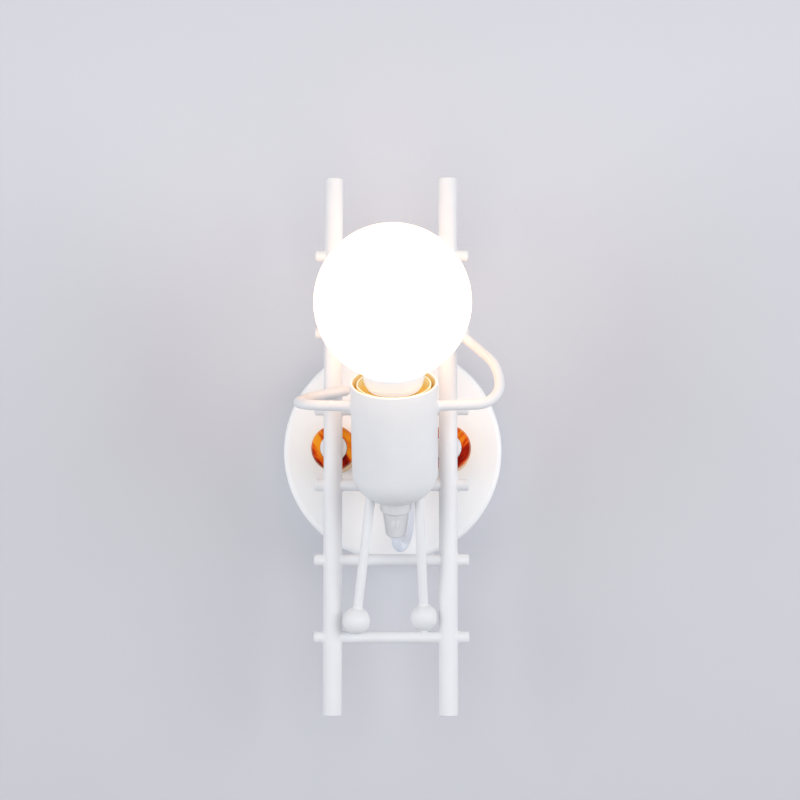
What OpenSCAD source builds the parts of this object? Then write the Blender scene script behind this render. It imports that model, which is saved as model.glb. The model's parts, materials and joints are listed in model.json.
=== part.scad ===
// Wall lamp: a little climber of bent rod on a ladder, with a globe bulb for its head.
// Sizes are in millimetres. The wall is the plane Y = 0, the lamp stands out towards -Y
// and +Z is up. The origin is midway between the two wall screw slots, on the wall.

/* [Canopy] */
// Outer diameter of the round canopy on the wall
canopy_d = 120; // [112:1:140]
// How far the canopy's front face stands out from the wall
canopy_depth = 25; // [23:0.5:32]
// Thickness of the canopy's sheet
canopy_wall = 1.2; // [0.8:0.1:2]
// Radius of the canopy's rounded front edge
canopy_edge_r = 3; // [2:0.5:6]

/* [Mounting strap] */
// Width of the strap
strap_w = 16; // [14:1:20]
// Thickness of the strap
strap_t = 2; // [1.5:0.25:3]
// Distance between the middles of the two wall screw slots
slot_spacing = 70; // [66:1:80]
// Width of a wall screw slot
slot_w = 4.5; // [3.5:0.25:6]
// End-to-end length of a wall screw slot
slot_len = 12; // [8:0.5:14]
// Diameter of the hole for the supply cable
supply_hole_d = 10; // [8:0.5:12]

/* [Standoffs] */
// Outer diameter of the wooden sleeves
wood_d = 24.4; // [20:0.2:30]
// Length of the wooden sleeves
wood_len = 27; // [20:0.5:35]
// Diameter of the steel bosses inside the sleeves
boss_d = 14.2; // [12:0.2:17]
// Gap between a sleeve's front face and the back of the rail
boss_gap = 1.25; // [0.5:0.25:4]

/* [Ladder] */
// Diameter of the two rails
rail_d = 10; // [8.5:0.1:11]
// Length of the rails
rail_len = 288; // [270:1:320]
// Distance between the rails' axes
rail_spacing = 61.5; // [59:0.5:66]
// Diameter of the rungs
rung_d = 6.4; // [5:0.1:7]
// Length of the rungs
rung_len = 82.5; // [78:0.5:90]
// How far the rungs sit to the right of the rails' middle
rung_shift = 0.6; // [0:0.1:2]
// Distance from one rung to the next
rung_pitch = 41; // [40:0.25:44]
// How far the ladder's middle sits above the canopy's middle
ladder_lift = 1.5; // [0:0.1:2.5]

/* [Lamp cup] */
// Outer diameter of the cup that is the climber's body
cup_d = 45; // [43.5:0.1:46.5]
// Length of the cup from rim to bottom
cup_len = 66.3; // [65:0.1:68]
// Radius of the cup's rounded bottom edge
cup_corner_r = 17; // [14:0.5:19]
// Thickness of the cup's sheet
cup_wall = 1.2; // [0.8:0.1:1.6]
// Lean of the cup's axis away from the wall, in degrees
cup_tilt = 28; // [24:0.25:29]
// How far the cup sits to the right of the ladder's middle
cup_x = 3.2; // [0:0.1:4]
// Distance from the plane of the ladder to the middle of the cup's rim
cup_reach = 46.8; // [46.5:0.1:52]
// Height of the middle of the cup's rim
cup_z = 30.5; // [30:0.1:32]

/* [Arms] */
// Diameter of the arm rods
arm_d = 5.4; // [4:0.1:6]
// Radius of the bends in the arms, at the rod's middle
arm_bend_r = 13.5; // [8:0.5:13.5]
// Radius of the wide bend halfway up the right arm
right_bow_r = 29; // [14:0.5:30]
// How far below the rim the arms leave the cup
arm_drop = 13.7; // [10:0.1:18]
// How far the left elbow stands out past the left rail's axis
left_elbow = 17.2; // [14:0.2:22]
// Height at which the left hand crosses its rail
left_hand_z = 28.5; // [27:0.5:36]
// How far the right elbow stands out past the right rail's axis
right_elbow = 28; // [22:0.5:34]
// Height at which the right hand crosses its rail
right_hand_z = 66; // [66:0.5:74]
// How far a hand reaches past the inner side of its rail
hand_over = 4.5; // [2:0.5:8]

/* [Legs] */
// Diameter of the leg rods
leg_d = 5; // [3.5:0.1:5.5]
// Distance of each leg's top from the cup's axis
leg_spread = 12; // [10.5:0.1:14]
// Diameter of the ball feet
foot_d = 14.5; // [12:0.1:15]
// Sideways place of the feet from the ladder's middle
foot_x = 17.9; // [16:0.1:18]
// Depth of the leg's socket in a foot
foot_socket = 6; // [3:0.5:8]

/* [Bulb] */
// Diameter of the bulb's globe
globe_d = 80; // [70:0.5:84]
// Distance from the cup's rim up to the globe's middle
globe_rise = 43.8; // [42:0.1:50]
// Diameter of the bulb's neck where it meets the globe
neck_d = 33; // [30:0.25:34]
// Diameter of the bulb's neck level with the cup's rim
neck_low_d = 30.6; // [28:0.2:32]
// Radius of the hollow curve from neck to globe
neck_blend_r = 3; // [2:0.5:6]
// Thickness of the bulb's glass
glass_wall = 1; // [0.7:0.1:1.5]
// Diameter of the bulb's screw cap
cap_d = 26; // [25.6:0.05:26.4]
// Length of the bulb's screw cap
cap_len = 22; // [20:0.25:24]
// Depth of the cap's top edge below the cup's rim
cap_depth = 9; // [8:0.25:10]

/* [Lamp holder] */
// Outer diameter of the lamp holder
holder_d = 38.6; // [36:0.1:40]
// Wall thickness of the lamp holder
holder_wall = 1.8; // [1.4:0.1:2.2]
// Depth of the holder's rim below the cup's rim
holder_depth = 1; // [0.5:0.25:3]
// Diameter of the hollow threaded nipple
nipple_d = 10; // [9:0.1:11]
// Diameter of the nipple's bore
nipple_bore_d = 7; // [6.4:0.1:7.6]

/* [Cord grip and cord] */
// Diameter of the cord grip's collar
grip_d = 16; // [15:0.1:18]
// Length of the cord grip's collar
grip_len = 7.6; // [6:0.1:10]
// Length of the cord grip's tapered nose
nose_len = 11.8; // [9:0.1:12]
// Nose diameter at the collar
nose_top_d = 13.5; // [12:0.1:15]
// Nose diameter at its tip
nose_tip_d = 10; // [9:0.1:11]
// Diameter of the cord
cord_d = 5.6; // [5:0.1:5.8]

/* [Fits] */
// Gap left at a welded, glued or threaded seat
weld_gap = 0.05; // [0.02:0.01:0.1]
// Gap round pieces that slip over or into one another
slip_gap = 0.2; // [0.1:0.05:0.4]
// Gap between the bulb and what it screws into
bulb_gap = 0.4; // [0.3:0.05:0.6]

/* [Hidden] */
$fn = 72;

// How far a cut runs past the face that it goes through
over = 1;

// How far each rung, from the top one down, was set off its even place
rung_set = [-0.7, -1.8, -1.8, -1.3, -0.2, 0];

// Places that several pieces share
rail_x = rail_spacing / 2;
rail_out = canopy_depth + wood_len + boss_gap + rail_d / 2;
rung_count = len(rung_set);
cup_out = rail_out + cup_reach;
cup_r = cup_d / 2;
hand_out = rail_out + (rail_d + arm_d) / 2 + weld_gap;
arm_out = cup_out - arm_drop * sin(cup_tilt);
arm_z = cup_z - arm_drop * cos(cup_tilt);

// Strap, its ears and the canopy's side screws
ear_gap = 0.3;
ear_reach = sqrt(pow(canopy_d / 2 - canopy_wall, 2) - pow(strap_w / 2, 2)) - ear_gap;
ear_h = 17;
side_screw_d = 4;
side_screw_out = 12;
side_screw_past = 1;
side_head_d = 7;
side_head_h = 2.2;

// Pan heads: straight share of the height, top share of the width, cross length and width
head_rim = 0.6;
head_top = 0.7;
cross_len = 0.6;
cross_w = 0.14;

// Earth screw and terminal block on the strap
earth_z = -18;
earth_screw_d = 4;
earth_head_d = 7.5;
earth_head_h = 2.6;
earth_ring_t = 0.8;
earth_ring_d = 9;
barrel_wall = 0.6;
barrel_len = 5.25;
block_z = 20;
block_h = 16;
pole_x = 5.5;
pole_d = 10;
pole_out = strap_t + pole_d / 2;
tube_d = 5;
tube_bore_d = 3.2;
tube_len = 14;
tube_screw_d = 2.6;
tube_screw_len = 3.2;
tube_screw_z = 4;
tube_screw_room = 0.5;
driver_slot_w = 0.6;
driver_slot_h = 0.7;
block_screw_d = 3;
block_seat_t = 3;
block_seat_out = strap_t + block_seat_t;
block_head_d = 5;
block_head_h = 2;

// Standoff bolts and the bush round the cord in the canopy's face
bolt_d = 5;
bolt_len = 20;
bolt_head_d = 9;
bolt_head_h = 3.2;
washer_d = 13;
washer_t = 1.2;
socket_depth = 2;
saddle = 1.5;
sleeve_edge = 0.8;
rod_edge = 0.5;
bush_d = 11;
bush_flange = 1.5;
bush_flange_t = 1.6;

// Lamp holder, measured down from the cup's rim along the cup's axis
holder_r = holder_d / 2;
shell_wall = 0.5;
shell_r = cap_d / 2 + bulb_gap;
shell_below_cap = 1;
shell_top = cap_depth + shell_below_cap;
shell_flange = 2.5;
insulator_h = 3.4;
contact_h = 1.2;
contact_room = 2.4;
tip_depth = cap_depth + cap_len + insulator_h + contact_h;
core_top = tip_depth + contact_room;
core_h = 7;
core_r = holder_r - holder_wall - weld_gap;
shelf_h = 2;
cap_top = core_top + core_h + shelf_h;
holder_cap_h = 11;
holder_cap_floor = 2.5;
holder_cap_side = 2;
holder_boss_h = 4;
holder_boss_wall = 5;
leaf_t = 0.5;
leaf_w = 5;
leaf_len = 11;
leaf_top_len = 8.8;
terminal_d = 4;
terminal_len = 6;
terminal_head_d = 5.6;
terminal_head_h = 1.6;
terminal_x = 9;
nut_across = 14;
nut_h = 3;
nut_corner_r = nut_across / 2 / cos(30);
floor_edge_r = cup_corner_r - cup_wall;
nut_overhang = max(0, nut_corner_r - cup_r + cup_corner_r);
nut_lift = floor_edge_r - sqrt(pow(floor_edge_r, 2) - pow(nut_overhang, 2)) + weld_gap;
grip_lip = 0.3;
grip_lip_h = 2.2;
grip_floor = 1;
grip_ribs = 10;
rib_w = 0.8;
rib_h = 8.3;
rib_edge = 1;
rib_proud = 0.35;
nipple_recess = 0.5;
nipple_top = cap_top + holder_cap_h - holder_cap_floor - holder_boss_h + nipple_recess;
nipple_end = cup_len + grip_len - grip_floor;

// Bulb details, along the same axis
insulator_top_r = 9;
insulator_tip_r = 5.6;
contact_r = 4.6;
contact_edge = 0.6;
cap_wall = 0.5;
cap_hole_r = 4;
flare_h = 4;
stem_r = 5;
stem_tip_r = 2;
stem_disc_t = 1;
filament_d = 2;
filament_ring_r = 9;
filament_count = 4;
filament_low = 26;
filament_high = 58;
filament_past = 1;

// Corners of the arms, each set off from the shoulder, the elbow or the hand: across, out, up
left_elbow_off = [0, -2, 1];
left_wrist_off = [1.5, 0, -2.9];
left_tip_rise = 1;
right_elbow_off = [0, -5, 1.7];
right_bow_off = [-1.7, -16, -25];
right_wrist_off = [12, 0, -10.7];
right_tip_rise = 5.3;

// Legs and feet: how deep the rods start in the cup's outline, and each foot's lean out over its rung
hip_sink = 8;
left_foot_lean = 33;
right_foot_lean = 5;

// Route of the lamp cord from the cord grip to the canopy: across, out from the wall, up
cord_route = [
    [3.2, 67.9, -39.3], [3.2, 66, -42.8], [3.2, 64.2, -46.3], [3.2, 62.2, -49.1], [3.8, 57, -52.9],
    [5.6, 49, -53.5], [7.8, 42, -49.6], [9.4, 38.5, -43], [9.8, 38.5, -34], [8.6, 40, -24], [6, 42, -15],
    [3, 41, -7], [1, 36, -1.5], [0, 30, 0], [0, 26, 0], [0, 22, 0], [0, 19, 0]
];
// Routes of the cord's cores inside the canopy: two to the terminals, one to the earth ring
lead_d = 2.2;
barrel_out = strap_t + barrel_wall + lead_d / 2 + weld_gap;
pole_route = [
    [1.4, 18.6, 0.8], [2, 15, 1], [4, 10, 2],
    [pole_x, pole_out, 5], [pole_x, pole_out, 9], [pole_x, pole_out, 14]
];
earth_route = [
    [0, 18.6, -1.6], [0, 15, -2], [0, 9, -3], [0, 5, -4.5],
    [0, barrel_out, -7], [0, barrel_out, -9], [0, barrel_out, -11], [0, barrel_out, -13]
];
// Cores inside the holder: their place in the nipple and how far they reach down it
lead_x = 1.6;
lead_tail = 6;
// Steps along each piece of a route, and corners round a cord and a core
route_steps = 3;
cord_sides = 12;
lead_sides = 8;
// Steps round each bend of an arm, corners round it and the rings of its round end
bend_steps = 8;
rod_sides = 20;
end_angles = [25, 50, 75];

// Helpers: directions, rods with true bends and swept cords
function unit(v) = v / norm(v);
function at(p) = [p.x, -p.y, p.z];
function flipped(route) = [for (p = route) [-p.x, p.y, p.z]];
function turn(p, i) = acos(unit(p[i] - p[i - 1]) * unit(p[i + 1] - p[i]));

// Local +Z runs from a towards b
module along(a, b) {
    v = b - a;
    translate(a) rotate([0, acos(v.z / norm(v)), atan2(v.y, v.x)]) children();
}

module rod(a, b, d) {
    along(a, b) cylinder(h = norm(b - a), d = d);
}

// Points round the bend at corner i of a path, each a fixed share of its turn
function bend_points(p, i, r) = let (
    u = unit(p[i] - p[i - 1]), v = unit(p[i + 1] - p[i]), x = -unit(v - u * (u * v)),
    c = p[i] - u * r * tan(turn(p, i) / 2) - x * r, a = turn(p, i) / bend_steps)
    [for (k = [0 : bend_steps]) c + r * (x * cos(k * a) + u * sin(k * a))];
// A path of corners with each corner rounded to its own bend radius in bends
function rounded(p, bends) = concat([p[0]],
    [for (i = [1 : len(p) - 2]) each bend_points(p, i, bends[i - 1])], [p[len(p) - 1]]);

// Points on a smooth curve that follows a route and meets both of its ends
function spline(a, b, c, d, t) = (a * pow(1 - t, 3) + b * (3 * pow(t, 3) - 6 * t * t + 4)
    + c * (-3 * pow(t, 3) + 3 * t * t + 3 * t + 1) + d * pow(t, 3)) / 6;
function held(r) = concat([r[0], r[0]], r, [r[len(r) - 1], r[len(r) - 1]]);
function curve(r) = let (q = held(r)) concat(
    [for (i = [1 : len(q) - 5], s = [0 : route_steps - 1])
        at(spline(q[i - 1], q[i], q[i + 1], q[i + 2], s / route_steps))],
    [at(r[len(r) - 1])]);
function heading(c, i) = let (last = len(c) - 1)
    unit((i < last ? unit(c[i + 1] - c[i]) : [0, 0, 0]) + (i > 0 ? unit(c[i] - c[i - 1]) : [0, 0, 0]));
// Sideways direction at each ring, carried along the curve without twist
function sideways(c, i = 0, s = [1, 0.1, 0], out = []) = i == len(c) ? out :
    let (h = heading(c, i), n = unit(s - h * (h * s))) sideways(c, i + 1, n, concat(out, [n]));

// A tube along points c, with a radius for each ring
module tube(c, radii, sides) {
    n = sideways(c);
    rings = len(c);
    points = [for (i = [0 : rings - 1], k = [0 : sides - 1]) let (a = 360 * k / sides)
        c[i] + radii[i] * (n[i] * cos(a) + cross(heading(c, i), n[i]) * sin(a))];
    wall = [for (i = [0 : rings - 2], k = [0 : sides - 1])
        let (a = i * sides + k, b = i * sides + (k + 1) % sides)
        each [[a, a + sides, b], [b, a + sides, b + sides]]];
    start = [[for (k = [0 : sides - 1]) k]];
    finish = [[for (k = [sides - 1 : -1 : 0]) (rings - 1) * sides + k]];
    polyhedron(points, concat(start, wall, finish), convexity = 6);
}

// A cord along its route
module swept(route, d, sides) {
    c = curve(route);
    tube(c, [for (p = c) d / 2], sides);
}

// A rod along a path of corners, with true bends and a round free end
module bent_rod(p, d, bends) {
    c = rounded(p, bends);
    last = len(c) - 1;
    u = unit(c[last] - c[last - 1]);
    nose = [for (a = end_angles) c[last] + u * d / 2 * sin(a)];
    tube(concat(c, nose), concat([for (q = c) d / 2], [for (a = end_angles) d / 2 * cos(a)]), rod_sides);
}

// Local +Z points out from the wall, local +Y points up
module outward(out = 0) {
    translate([0, -out, 0]) rotate([90, 0, 0]) children();
}

// Origin in the middle of the cup's rim, local +Z along the cup's axis towards the bulb
module in_cup() {
    translate([cup_x, -cup_out, cup_z]) rotate([cup_tilt, 0, 0]) children();
}

function from_cup(p) = [cup_x + p.x, -cup_out + p.y * cos(cup_tilt) - p.z * sin(cup_tilt),
    cup_z + p.y * sin(cup_tilt) + p.z * cos(cup_tilt)];

module slot(w, length) {
    for (s = [-1, 1]) translate([0, s * (length - w) / 2]) circle(d = w);
    square([w, length - w], center = true);
}

// Round bar with chamfered ends
module bar(d, length) {
    rotate_extrude() polygon([[0, -length / 2], [d / 2 - rod_edge, -length / 2],
        [d / 2, -length / 2 + rod_edge], [d / 2, length / 2 - rod_edge],
        [d / 2 - rod_edge, length / 2], [0, length / 2]]);
}

// Pan-headed screw: head above Z = 0 with a cross slot, shank below
module pan_screw(d, length, head_d, head_h) {
    difference() {
        union() {
            cylinder(h = head_h * head_rim, d = head_d);
            translate([0, 0, head_h * head_rim])
                cylinder(h = head_h * (1 - head_rim), d1 = head_d, d2 = head_d * head_top);
        }
        for (a = [0, 90]) rotate(a) translate([0, 0, head_h])
            cube([head_d * cross_len, head_d * cross_w, head_h], center = true);
    }
    translate([0, 0, -length]) cylinder(h = length, d = d);
}

// Wall side
module mounting_strap() color("silver") outward() difference() {
    union() {
        translate([-strap_w / 2, -ear_reach, 0]) cube([strap_w, 2 * ear_reach, strap_t]);
        for (s = [-1, 1]) translate([-strap_w / 2, s * (ear_reach - strap_t / 2) - strap_t / 2, 0])
            cube([strap_w, strap_t, ear_h]);
    }
    for (s = [-1, 1]) translate([0, s * slot_spacing / 2, -over])
        linear_extrude(strap_t + 2 * over) slot(slot_w, slot_len);
    translate([0, 0, -over]) cylinder(h = strap_t + 2 * over, d = supply_hole_d);
    translate([0, earth_z, -over]) cylinder(h = strap_t + 2 * over, d = earth_screw_d);
    translate([0, block_z, -over]) cylinder(h = strap_t + 2 * over, d = block_screw_d);
    translate([0, 0, side_screw_out]) rotate([90, 0, 0])
        cylinder(h = 3 * ear_reach, d = side_screw_d, center = true);
}

module earth_screw() color("gold") translate([0, 0, earth_z]) outward(strap_t + earth_ring_t)
    pan_screw(earth_screw_d - 2 * weld_gap, strap_t + earth_ring_t, earth_head_d, earth_head_h);

// Crimped ring under the earth screw, with its barrel towards the cord
module earth_ring() color("goldenrod") translate([0, 0, earth_z]) difference() {
    union() {
        outward(strap_t) cylinder(h = earth_ring_t, d = earth_ring_d);
        translate([0, -barrel_out, earth_head_d / 2])
            cylinder(h = barrel_len, d = lead_d + 2 * barrel_wall);
    }
    outward(strap_t - over) cylinder(h = earth_ring_t + 2 * over, d = earth_screw_d + slip_gap);
    outward(strap_t + earth_ring_t) cylinder(h = 2 * barrel_out, d = earth_head_d + 2 * slip_gap);
    translate([0, -barrel_out, earth_head_d / 2]) cylinder(h = barrel_len + over, d = lead_d + slip_gap);
}

module terminal_block() color("whitesmoke") translate([0, 0, block_z - block_h / 2]) difference() {
    linear_extrude(block_h) {
        for (s = [-1, 1]) translate([s * pole_x, -pole_out]) circle(d = pole_d);
        for (s = [-1, 1]) translate([s * pole_x - pole_d / 2, -pole_out]) square([pole_d, pole_d / 2]);
        translate([-pole_x, -pole_out]) square([2 * pole_x, pole_d / 2]);
    }
    for (s = [-1, 1]) translate([s * pole_x, -pole_out, -over])
        cylinder(h = block_h + 2 * over, d = tube_d + 2 * weld_gap);
    for (s = [-1, 1], z = [-1, 1]) translate([s * pole_x, 0, block_h / 2 + z * tube_screw_z])
        outward(pole_out) cylinder(h = pole_d, d = tube_screw_d + 2 * tube_screw_room);
    translate([0, 0, block_h / 2]) {
        outward(strap_t - over) cylinder(h = pole_d, d = block_screw_d + 2 * slip_gap);
        outward(block_seat_out) cylinder(h = pole_d, d = block_head_d + 2 * slip_gap);
    }
}

module terminal_block_screw() color("silver") translate([0, 0, block_z]) outward(block_seat_out)
    pan_screw(block_screw_d - 2 * weld_gap, block_seat_out, block_head_d, block_head_h);

module terminal_tubes() color("gold") for (s = [-1, 1])
    translate([s * pole_x, -pole_out, block_z]) difference() {
        cylinder(h = tube_len, d = tube_d, center = true);
        cylinder(h = tube_len + 2 * over, d = tube_bore_d, center = true);
        for (z = [-1, 1]) translate([0, 0, z * tube_screw_z]) outward()
            cylinder(h = tube_d, d = tube_screw_d);
    }

module terminal_screws() color("silver") for (s = [-1, 1], z = [-1, 1])
    translate([s * pole_x, 0, block_z + z * tube_screw_z])
        outward(pole_out + tube_bore_d / 2) difference() {
            cylinder(h = tube_screw_len, d = tube_screw_d - 2 * weld_gap);
            translate([0, 0, tube_screw_len])
                cube([2 * tube_screw_d, driver_slot_w, 2 * driver_slot_h], center = true);
        }

// Spun dish with a rounded front edge, open towards the wall
module dish_profile(r, depth, edge) {
    square([r, depth - edge]);
    square([r - edge, depth]);
    translate([r - edge, depth - edge]) circle(r = edge);
}

module canopy() color("white") outward() difference() {
    rotate_extrude() difference() {
        dish_profile(canopy_d / 2, canopy_depth, canopy_edge_r);
        translate([0, -over]) dish_profile(canopy_d / 2 - canopy_wall, canopy_depth - canopy_wall + over,
            canopy_edge_r - canopy_wall);
    }
    cylinder(h = canopy_depth + over, d = bush_d);
    for (s = [-1, 1]) translate([s * rail_x, 0, 0])
        cylinder(h = canopy_depth + over, d = bolt_d + 2 * slip_gap);
    translate([0, 0, side_screw_out]) rotate([90, 0, 0])
        cylinder(h = canopy_d + 2 * over, d = side_screw_d + 2 * slip_gap, center = true);
}

module canopy_screws() color("white") for (s = [-1, 1])
    translate([0, -side_screw_out, s * (canopy_d / 2 + weld_gap)]) rotate([90 - s * 90, 0, 0])
        pan_screw(side_screw_d - 2 * weld_gap, canopy_d / 2 - ear_reach + strap_t + side_screw_past,
            side_head_d, side_head_h);

// Rubber bush snapped into the canopy's face round the cord
module cord_grommet() color("white") outward(canopy_depth) rotate_extrude() difference() {
    union() {
        translate([0, weld_gap]) square([bush_d / 2 + bush_flange, bush_flange_t]);
        translate([0, -canopy_wall - weld_gap - bush_flange_t])
            square([bush_d / 2 + bush_flange, bush_flange_t]);
        translate([0, -canopy_wall - bush_flange_t])
            square([bush_d / 2 - weld_gap, canopy_wall + 2 * bush_flange_t]);
    }
    translate([0, -canopy_depth]) square([cord_d / 2 + slip_gap, 2 * canopy_depth]);
}

// Standoffs
module standoff_bolts() color("silver") for (s = [-1, 1])
    translate([s * rail_x, 0, 0]) outward(canopy_depth - canopy_wall - washer_t) rotate([180, 0, 0])
        pan_screw(bolt_d - 2 * weld_gap, bolt_len, bolt_head_d, bolt_head_h);

module standoff_washers() color("silver") for (s = [-1, 1])
    translate([s * rail_x, 0, 0]) outward(canopy_depth - canopy_wall - washer_t) difference() {
        cylinder(h = washer_t, d = washer_d);
        translate([0, 0, -over]) cylinder(h = washer_t + 2 * over, d = bolt_d + 2 * slip_gap);
    }

// Tapped steel boss whose front end is hollowed to seat the rail
module standoff_boss(s) color("white") translate([s * rail_x, 0, 0]) difference() {
    outward(canopy_depth) cylinder(h = wood_len + boss_gap + saddle, d = boss_d);
    outward(canopy_depth - over)
        cylinder(h = bolt_len - canopy_wall - washer_t + socket_depth + over, d = bolt_d);
    translate([0, -rail_out, 0]) cylinder(h = 2 * boss_d, d = rail_d + 2 * weld_gap, center = true);
}

module wood_sleeve(s) color("peru") translate([s * rail_x, 0, 0]) outward(canopy_depth) rotate_extrude()
    polygon([
        [boss_d / 2 + slip_gap, 0], [wood_d / 2, 0], [wood_d / 2, wood_len - sleeve_edge],
        [wood_d / 2 - sleeve_edge, wood_len], [boss_d / 2 + slip_gap, wood_len]
    ]);

// Ladder
function rung_z(i) = ladder_lift + ((rung_count + 1) / 2 - i) * rung_pitch + rung_set[i - 1];

module rail(s) color("white") translate([s * rail_x, -rail_out, 0]) difference() {
    translate([0, 0, ladder_lift]) bar(rail_d, rail_len);
    for (i = [1 : rung_count]) translate([0, 0, rung_z(i)]) rotate([0, 90, 0])
        cylinder(h = 2 * rail_d, d = rung_d + 2 * weld_gap, center = true);
}

module rung(i) color("white") translate([rung_shift, -rail_out, rung_z(i)]) rotate([0, 90, 0])
    bar(rung_d, rung_len);

// Climber's body
module cup_profile(r, length, corner) {
    translate([0, corner - length]) square([r, length - corner]);
    translate([0, -length]) square([r - corner, corner]);
    intersection() {
        translate([r - corner, corner - length]) circle(r = corner);
        translate([0, -length]) square([r, corner]);
    }
}

module lamp_cup() color("white") in_cup() difference() {
    rotate_extrude() difference() {
        cup_profile(cup_r, cup_len, cup_corner_r);
        translate([0, over])
            cup_profile(cup_r - cup_wall, cup_len - cup_wall + over, cup_corner_r - cup_wall);
    }
    translate([0, 0, -cup_len - over]) cylinder(h = cup_len, d = nipple_d + 2 * slip_gap);
}

// The cup's outer form, a weld's gap larger, for rods that end on it
module cup_seat() in_cup() rotate_extrude()
    cup_profile(cup_r + weld_gap, cup_len + weld_gap, cup_corner_r + weld_gap);

// Where an arm's path starts inside the cup's outline on side s
function shoulder(s) = [cup_x + s * (cup_r - arm_d), -arm_out, arm_z];

// Where a hand's path ends past the inner side of its rail, on side s and raised by rise
function hand_tip(s, z, rise) = at([s * (rail_x - rail_d / 2 - hand_over + arm_d / 2), hand_out, z + rise]);

left_arm_path = [
    shoulder(-1),
    at([-rail_x - left_elbow, arm_out, arm_z] + left_elbow_off),
    at([-rail_x - left_elbow, hand_out, left_hand_z] + left_wrist_off),
    hand_tip(-1, left_hand_z, left_tip_rise)
];
right_arm_path = [
    shoulder(1),
    at([rail_x + right_elbow, arm_out, arm_z] + right_elbow_off),
    at([rail_x + right_elbow, arm_out, right_hand_z] + right_bow_off),
    at([rail_x, hand_out, right_hand_z] + right_wrist_off),
    hand_tip(1, right_hand_z, right_tip_rise)
];

left_arm_bends = [arm_bend_r, arm_bend_r];
right_arm_bends = [arm_bend_r, right_bow_r, arm_bend_r];

module arm(path, bends) color("white") difference() {
    bent_rod(path, arm_d, bends);
    cup_seat();
}

// Feet stand on the lowest rung, the left one a little in front of it
foot_r = foot_d / 2;
foot_lift = foot_r + rung_d / 2 + weld_gap;
function foot_at(s) = let (lean = s < 0 ? left_foot_lean : right_foot_lean)
    at([s * foot_x, rail_out + foot_lift * sin(lean), rung_z(rung_count) + foot_lift * cos(lean)]);
function hip(s) = from_cup([s * leg_spread, 0, cup_corner_r - cup_len - hip_sink]);

module leg(s) color("white") difference() {
    rod(hip(s), foot_at(s) + unit(hip(s) - foot_at(s)) * (foot_r - foot_socket + weld_gap), leg_d);
    cup_seat();
}

module foot(s) color("white") difference() {
    translate(foot_at(s)) sphere(d = foot_d);
    rod(foot_at(s) + unit(hip(s) - foot_at(s)) * (foot_r - foot_socket), hip(s), leg_d + 2 * weld_gap);
}

// Lamp holder inside the cup
module holder_sleeve() color("ivory") in_cup() rotate_extrude() difference() {
    translate([0, -cap_top]) square([holder_r, cap_top - holder_depth]);
    translate([-over, -core_top - core_h]) square([holder_r - holder_wall + over, cap_top]);
    translate([-over, -cap_top - over]) square([holder_r - 2 * holder_wall + over, cap_top]);
}

// Insulating disc that carries the contacts, seated on the sleeve's inner shelf
module holder_core() color("tan") in_cup() difference() {
    translate([0, 0, -core_top - core_h]) cylinder(h = core_h, r = core_r);
    for (s = [-1, 1]) translate([s * terminal_x, 0, -core_top - core_h - over])
        cylinder(h = core_h + 2 * over, d = terminal_d);
}

// Screw shell that takes the bulb's cap, with a foot flange on the core
module holder_shell() color("silver") in_cup() rotate_extrude() {
    translate([shell_r, -core_top]) square([shell_wall, core_top - shell_top]);
    translate([shell_r, -core_top]) square([shell_flange, shell_wall]);
}

// Sprung leaf under the bulb's tip, shown pressed down by it
module centre_contact() color("gold") in_cup() translate([-leaf_w / 2, -leaf_len / 2, -core_top]) {
    cube([leaf_w, leaf_len, leaf_t]);
    cube([leaf_w, leaf_t, contact_room - bulb_gap]);
    translate([0, 0, contact_room - bulb_gap - leaf_t]) cube([leaf_w, leaf_top_len, leaf_t]);
}

module holder_terminals() color("gold") in_cup() for (s = [-1, 1])
    translate([s * terminal_x, 0, -core_top - core_h]) rotate([180, 0, 0])
        pan_screw(terminal_d - 2 * weld_gap, terminal_len, terminal_head_d, terminal_head_h);

// Domed end of the holder with a boss for the nipple
module holder_cap() color("ivory") in_cup() translate([0, 0, -cap_top]) rotate_extrude() difference() {
    cup_profile(holder_r, holder_cap_h, holder_cap_h - holder_cap_side);
    difference() {
        translate([0, over]) cup_profile(holder_r - holder_wall, holder_cap_h - holder_cap_floor + over,
            holder_cap_h - holder_cap_floor - holder_cap_side);
        translate([0, -holder_cap_h])
            square([nipple_d / 2 + holder_boss_wall, holder_cap_floor + holder_boss_h]);
    }
    translate([0, -2 * holder_cap_h]) square([nipple_d / 2 + weld_gap, 3 * holder_cap_h]);
}

module nipple() color("silver") in_cup() translate([0, 0, -nipple_end]) difference() {
    cylinder(h = nipple_end - nipple_top, d = nipple_d);
    translate([0, 0, -over]) cylinder(h = nipple_end, d = nipple_bore_d);
}

// Nut on the cup's floor, raised until its corners clear the floor's rounded edge
module nipple_nut() color("silver") in_cup() translate([0, 0, cup_wall - cup_len + nut_lift]) difference() {
    cylinder(h = nut_h, r = nut_corner_r, $fn = 6);
    translate([0, 0, -over]) cylinder(h = nut_h + 2 * over, d = nipple_d + 2 * weld_gap);
}

// Cord grip under the cup: a collar screwed to the nipple and a tapered, ribbed nose
module under_cup(drop) in_cup() translate([0, 0, -cup_len - drop]) children();

module cord_grip_collar() color("gainsboro") under_cup(grip_len + grip_lip_h)
    rotate_extrude() difference() {
        union() {
            square([grip_d / 2, grip_lip_h + grip_len]);
            square([grip_d / 2 + grip_lip, grip_lip_h]);
        }
        translate([0, -over]) square([cord_d / 2 + slip_gap, grip_lip_h + grip_len + 2 * over]);
        translate([0, grip_lip_h + grip_floor - weld_gap]) square([nipple_d / 2 + weld_gap, grip_len]);
    }

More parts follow.
